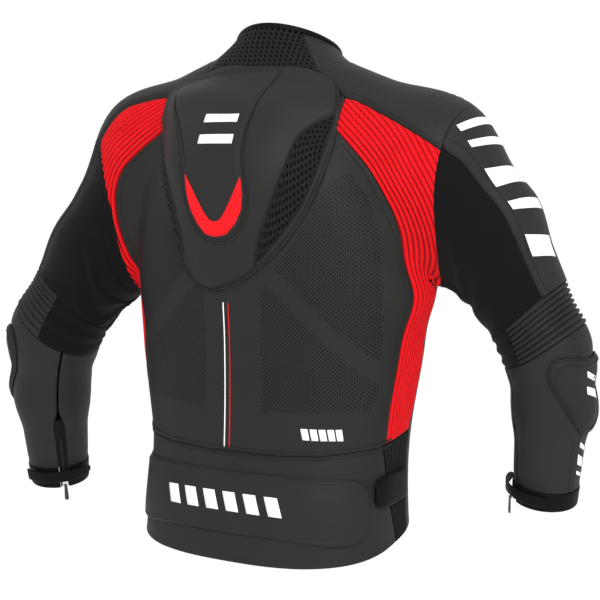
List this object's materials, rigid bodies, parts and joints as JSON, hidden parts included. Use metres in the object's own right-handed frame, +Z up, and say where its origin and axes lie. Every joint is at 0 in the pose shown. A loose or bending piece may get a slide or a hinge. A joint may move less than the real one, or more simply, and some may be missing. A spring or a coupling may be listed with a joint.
{
  "type": "leather riding jacket",
  "caption": "Fitted leather motorcycle jacket with a moulded back hump, red accordion stretch panels, pre-curved sleeves, stand collar, zips and hook-and-loop straps.",
  "frame": {"origin": "centre back of the neck seam, where the hanger loop is sewn in", "axes": "+Z up, +X towards the wearer's left, -Y towards the front the wearer faces"},
  "size_m": [0.8485, 0.2894, 0.6772],
  "materials": {
    "leather": "matte fine-grained cowhide",
    "perforated_leather": "matte cowhide punched with small holes",
    "red_leather": "matte dyed leather",
    "red_stretch": "ribbed stretch panel",
    "stretch_fabric": "matte knitted stretch fabric",
    "spacer_mesh": "open three-dimensional honeycomb mesh",
    "binding": "smooth matte binding",
    "lining": "fine mesh lining",
    "armour_foam": "moulded foam",
    "zip_tape": "woven zip tape",
    "zip_metal": "satin metal"
  },
  "bodies": {
    "torso": {"back_panel": "perforated_leather", "waist_band": "leather", "back_hump": "leather", "lumbar_pad": "leather", "hump_inlay": "leather", "hump_chevron": "red_leather", "back_protector": "armour_foam", "lining_back": "lining", "trouser_zip": "zip_tape", "hanger_loop": "zip_tape", "collar_back_mesh": "spacer_mesh", "collar_binding": "binding", "front_zip": "zip_tape", "mesh_insert_left": "spacer_mesh", "lining_front_left": "lining", "shoulder_armor_left": "armour_foam", "collar_front_left": "leather", "stretch_panel_left": "red_stretch", "shoulder_yoke_left": "leather", "front_panel_left": "leather", "side_elastic_left": "stretch_fabric", "mesh_insert_right": "spacer_mesh", "lining_front_right": "lining", "shoulder_armor_right": "armour_foam", "collar_front_right": "leather", "stretch_panel_right": "red_stretch", "shoulder_yoke_right": "leather", "front_panel_right": "leather", "side_elastic_right": "stretch_fabric"},
    "front_slider": {"front_slider": "zip_metal"},
    "front_pull": {"front_pull": "zip_metal"},
    "collar_tab": {"collar_tab": "binding"},
    "upper_arm_left": {"sleeve_cap_left": "stretch_fabric", "upper_sleeve_leather_left": "leather", "upper_sleeve_stretch_left": "stretch_fabric"},
    "forearm_left": {"elbow_gusset_left": "leather", "forearm_leather_left": "leather", "cuff_band_left": "binding", "elbow_pad_left": "leather", "elbow_armor_left": "armour_foam", "cuff_zip_left": "zip_tape"},
    "cuff_slider_left": {"cuff_slider_left": "zip_metal"},
    "cuff_pull_left": {"cuff_pull_left": "zip_metal"},
    "cuff_strap_left": {"cuff_strap_left": "binding"},
    "waist_strap_left": {"waist_strap_left": "binding"},
    "upper_arm_right": {"sleeve_cap_right": "stretch_fabric", "upper_sleeve_leather_right": "leather", "upper_sleeve_stretch_right": "stretch_fabric"},
    "forearm_right": {"elbow_gusset_right": "leather", "forearm_leather_right": "leather", "cuff_band_right": "binding", "elbow_pad_right": "leather", "elbow_armor_right": "armour_foam", "cuff_zip_right": "zip_tape"},
    "cuff_slider_right": {"cuff_slider_right": "zip_metal"},
    "cuff_pull_right": {"cuff_pull_right": "zip_metal"},
    "cuff_strap_right": {"cuff_strap_right": "binding"},
    "waist_strap_right": {"waist_strap_right": "binding"}
  },
  "joints": [
    {"name": "shoulder_left", "type": "hinge", "parent": "torso", "child": "upper_arm_left", "pos_m": [0.25, -0.073, -0.125], "axis": [0, -1, 0], "range_deg": [-5, 20], "stiffness_Nm_per_rad": 30, "deforming": ["sleeve_cap_left"]},
    {"name": "elbow_left", "type": "hinge", "parent": "upper_arm_left", "child": "forearm_left", "pos_m": [0.3367, -0.029, -0.3397], "axis": [-1, 0, 0], "range_deg": [-5, 30], "stiffness_Nm_per_rad": 10, "deforming": ["elbow_gusset_left"]},
    {"name": "cuff_zip_slide_left", "type": "slide", "parent": "forearm_left", "child": "cuff_slider_left", "axis": [-0.1227, 0.2474, 0.9611], "range_m": [0, 0.06]},
    {"name": "cuff_pull_swing_left", "type": "hinge", "parent": "cuff_slider_left", "child": "cuff_pull_left", "pos_m": [0.3472, -0.0362, -0.5912], "axis": [0.6585, 0.7449, -0.1076], "range_deg": [0, 90]},
    {"name": "cuff_strap_peel_left", "type": "hinge", "parent": "forearm_left", "child": "cuff_strap_left", "pos_m": [0.3988, -0.0154, -0.5771], "axis": [0.0217, -0.2587, -0.9657], "range_deg": [0, 70]},
    {"name": "waist_strap_peel_left", "type": "hinge", "parent": "torso", "child": "waist_strap_left", "pos_m": [0.181, -0.058, -0.536], "axis": [0, 0, -1], "range_deg": [0, 90]},
    {"name": "shoulder_right", "type": "hinge", "parent": "torso", "child": "upper_arm_right", "pos_m": [-0.25, -0.075, -0.125], "axis": [0, 1, 0], "range_deg": [-5, 20], "stiffness_Nm_per_rad": 30, "deforming": ["sleeve_cap_right"]},
    {"name": "elbow_right", "type": "hinge", "parent": "upper_arm_right", "child": "forearm_right", "pos_m": [-0.3367, -0.1123, -0.3317], "axis": [-1, 0, 0], "range_deg": [-5, 30], "stiffness_Nm_per_rad": 10, "deforming": ["elbow_gusset_right"]},
    {"name": "cuff_zip_slide_right", "type": "slide", "parent": "forearm_right", "child": "cuff_slider_right", "axis": [-0.1009, 0.1929, 0.976], "range_m": [0, 0.06]},
    {"name": "cuff_pull_swing_right", "type": "hinge", "parent": "cuff_slider_right", "child": "cuff_pull_right", "pos_m": [-0.3037, -0.1254, -0.5443], "axis": [0.6201, -0.7549, 0.2134], "range_deg": [0, 90]},
    {"name": "cuff_strap_peel_right", "type": "hinge", "parent": "forearm_right", "child": "cuff_strap_right", "pos_m": [-0.3563, -0.1063, -0.5425], "axis": [-0.1548, 0.1859, 0.9703], "range_deg": [0, 70]},
    {"name": "waist_strap_peel_right", "type": "hinge", "parent": "torso", "child": "waist_strap_right", "pos_m": [-0.181, -0.058, -0.536], "axis": [0, 0, 1], "range_deg": [0, 90]},
    {"name": "front_zip_slide", "type": "slide", "parent": "torso", "child": "front_slider", "axis": [0, -0.0213, -0.9998], "range_m": [0, 0.44]},
    {"name": "front_pull_swing", "type": "hinge", "parent": "front_slider", "child": "front_pull", "pos_m": [0, -0.1739, -0.105], "axis": [-1, 0, 0], "range_deg": [0, 90]},
    {"name": "collar_tab_peel", "type": "hinge", "parent": "torso", "child": "collar_tab", "pos_m": [0.021, -0.169, -0.0555], "axis": [0, 0, 1], "range_deg": [0, 110]}
  ]
}
